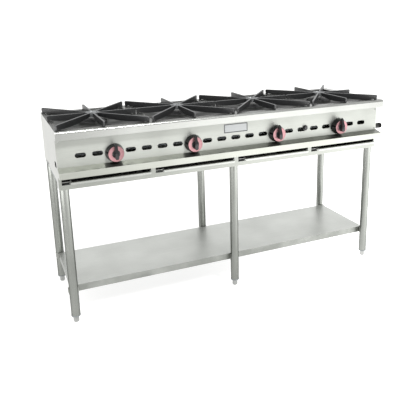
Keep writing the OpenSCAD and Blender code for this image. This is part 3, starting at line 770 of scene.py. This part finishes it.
def roundedLoop(work, look, cut, leastCorner, depth):
    # vertices of the plate's upright outline drawn in by cut, in the plane y = depth,
    # anticlockwise from the front
    steps = look["cornerSteps"]
    radius = max(look["corner"] - cut, leastCorner)
    halfWide = (look["width"] - 2 * cut) / 2 - radius
    halfTall = (look["height"] - 2 * cut) / 2 - radius
    middle = (look["left"] + look["width"] / 2, look["bottom"] + look["height"] / 2)
    made = []
    for corner, (sx, sz) in enumerate(((1, -1), (1, 1), (-1, 1), (-1, -1))):
        for step in range(steps + 1):
            angle = math.radians(90 * corner - 90 + 90 / steps * step)
            x = middle[0] + sx * halfWide + radius * math.cos(angle)
            z = middle[1] + sz * halfTall + radius * math.sin(angle)
            made.append(work.verts.new((x * mm, depth * mm, z * mm)))
    return made


def makeNameplate(look):
    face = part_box("control_panel")[0][1] / mm
    front = face - look["thick"]
    edge = look["edge"]

    plate = bmesh.new()
    shape = [(0.0, face), (0.0, front + edge), (edge, front)]
    loops = [roundedLoop(plate, look, cut, 0.0, y) for cut, y in shape]
    for one, two in zip(loops, loops[1:]):
        joinLoops(plate, one, two)
    plate.faces.new(loops[0])
    plate.faces.new(loops[-1])
    addPart("nameplate", outwardMesh("nameplate", plate, "plateSatin"), casing)

    line = bmesh.new()
    outer = look["borderIn"]
    inner = outer + look["borderWidth"]
    sunk = front + look["borderSunk"]
    proud = front - look["borderProud"]
    shape = [(outer, sunk), (outer, proud), (inner, proud), (inner, sunk)]
    loops = [roundedLoop(line, look, cut, look["borderCorner"], y) for cut, y in shape]
    for one, two in zip(loops, loops[1:] + loops[:1]):
        joinLoops(line, one, two)
    mesh = outwardMesh("nameplate_border", line, "plasticBlack")
    addPart("nameplate_border", mesh, casing)
    return front


plateFront = makeNameplate(nameplate)
print("nameplate made, front at", round(plateFront, 2), "mm")


# fasteners: rows of heads, made by one node tree for hex screws and one for domed rivets
headShape = {
    "domeSegments": 16,
    "domeRings": 8,
    "hexSides": 6,
    "washerSides": 24,
    "washerWide": 1.3,      # times the hexagon
    "washerThick": 0.3,
}


def headTree(name, domed, look):
    tree = bpy.data.node_groups.new(name, "GeometryNodeTree")
    for label, kind in (("Count", "Int"), ("Start", "Vector"), ("Step", "Vector"), ("Turn", "Vector"),
                        ("Across", "Float"), ("Rise", "Float"), ("Finish", "Material")):
        tree.interface.new_socket(label, in_out="INPUT", socket_type="NodeSocket" + kind)
    tree.interface.new_socket("Heads", in_out="OUTPUT", socket_type="NodeSocketGeometry")
    given = addNode(tree, "NodeGroupInput").outputs
    half = calc(tree, "MULTIPLY", given["Across"], 0.5)
    if domed:
        ball = addNode(tree, "GeometryNodeMeshUVSphere",
                       {"Segments": look["domeSegments"], "Rings": look["domeRings"], "Radius": half})
        squash = calc(tree, "DIVIDE", given["Rise"], half)
        scale = addNode(tree, "ShaderNodeCombineXYZ", {"X": 1.0, "Y": 1.0, "Z": squash})
        head = addNode(tree, "GeometryNodeTransform",
                       {"Geometry": ball.outputs["Mesh"], "Scale": scale.outputs[0]})
    else:
        wide = calc(tree, "MULTIPLY", half, look["washerWide"])
        thin = calc(tree, "MULTIPLY", given["Rise"], look["washerThick"])
        parts = []
        for sides, radius, tall in ((look["hexSides"], half, given["Rise"]),
                                    (look["washerSides"], wide, thin)):
            body = addNode(tree, "GeometryNodeMeshCylinder",
                           {"Vertices": sides, "Radius": radius, "Depth": tall})
            up = addNode(tree, "ShaderNodeCombineXYZ", {"Z": calc(tree, "MULTIPLY", tall, 0.5)})
            parts.append(addNode(tree, "GeometryNodeTransform",
                                 {"Geometry": body.outputs["Mesh"], "Translation": up.outputs[0]}))
        head = addNode(tree, "GeometryNodeJoinGeometry")
        for part in parts:
            tree.links.new(part.outputs[0], head.inputs[0])
    row = addNode(tree, "GeometryNodeMeshLine",
                  {"Count": given["Count"], "Start Location": given["Start"], "Offset": given["Step"]})
    turn = addNode(tree, "FunctionNodeEulerToRotation", {0: given["Turn"]})
    placed = addNode(tree, "GeometryNodeInstanceOnPoints",
                     {"Points": row.outputs[0], "Instance": head.outputs[0], "Rotation": turn.outputs[0]})
    real = addNode(tree, "GeometryNodeRealizeInstances", {0: placed.outputs[0]})
    painted = addNode(tree, "GeometryNodeSetMaterial",
                      {"Geometry": real.outputs[0], "Material": given["Finish"]})
    addNode(tree, "NodeGroupOutput", {"Heads": painted.outputs[0]})
    return tree


def fastenerRow(name, tree, values):
    piece = newPiece(name, bpy.data.meshes.new(name))
    made = piece.modifiers.new("row", "NODES")
    made.node_group = tree
    for socket in tree.interface.items_tree:
        if socket.in_out == "INPUT":
            made[socket.identifier] = values[socket.name]
    applyModifiers(piece)
    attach(piece, casing)


screwLook = {
    "across": 8.0,      # mm, washer-head screws
    "rise": 4.0,
    "edgeIn": 12.0,     # from the back panel's edges
    "perLongRow": 9,
    "panelAcross": 6.0,
    "panelRise": 1.6,
    "panelHeights": (713.0, 810.0),
    "panelEdgeIn": 8.0,
}


def makeFasteners(look, plate, front):
    screws = headTree("washerHeadScrews", False, headShape)
    rivets = headTree("domedRivets", True, headShape)
    toFront = (math.radians(90), 0, 0)
    toBack = (math.radians(-90), 0, 0)
    low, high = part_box("back_panel")
    edge = look["edgeIn"] * mm
    between = high[0] - low[0] - 2 * edge
    longRow = look["perLongRow"]
    rows = [("top", high[2] - edge, longRow, between / (longRow - 1)),
            ("middle", (low[2] + high[2]) / 2, 2, between),
            ("bottom", low[2] + edge, longRow, between / (longRow - 1))]
    for label, z, count, step in rows:
        fastenerRow("back_screws_" + label, screws,
                    {"Count": count, "Start": (low[0] + edge, high[1], z), "Step": (step, 0, 0),
                     "Turn": toBack, "Across": look["across"] * mm, "Rise": look["rise"] * mm,
                     "Finish": finishes["zincScrew"]})
    for label, z in (("low", plate["bottom"] + plate["rivetIn"]),
                     ("high", plate["bottom"] + plate["height"] - plate["rivetIn"])):
        fastenerRow("nameplate_rivets_" + label, rivets,
                    {"Count": 2, "Start": ((plate["left"] + plate["rivetIn"]) * mm, front * mm, z * mm),
                     "Step": ((plate["width"] - 2 * plate["rivetIn"]) * mm, 0, 0), "Turn": toFront,
                     "Across": plate["rivetAcross"] * mm, "Rise": plate["rivetRise"] * mm,
                     "Finish": finishes["zincScrew"]})
    panelLow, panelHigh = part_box("control_panel")
    first, last = look["panelHeights"]
    fastenerRow("panel_screws", rivets,
                {"Count": 2, "Start": (panelHigh[0] - look["panelEdgeIn"] * mm, panelLow[1], first * mm),
                 "Step": (0, 0, (last - first) * mm), "Turn": toFront,
                 "Across": look["panelAcross"] * mm, "Rise": look["panelRise"] * mm,
                 "Finish": finishes["pipeBlack"]})


makeFasteners(screwLook, nameplate, plateFront)
print("fasteners set")
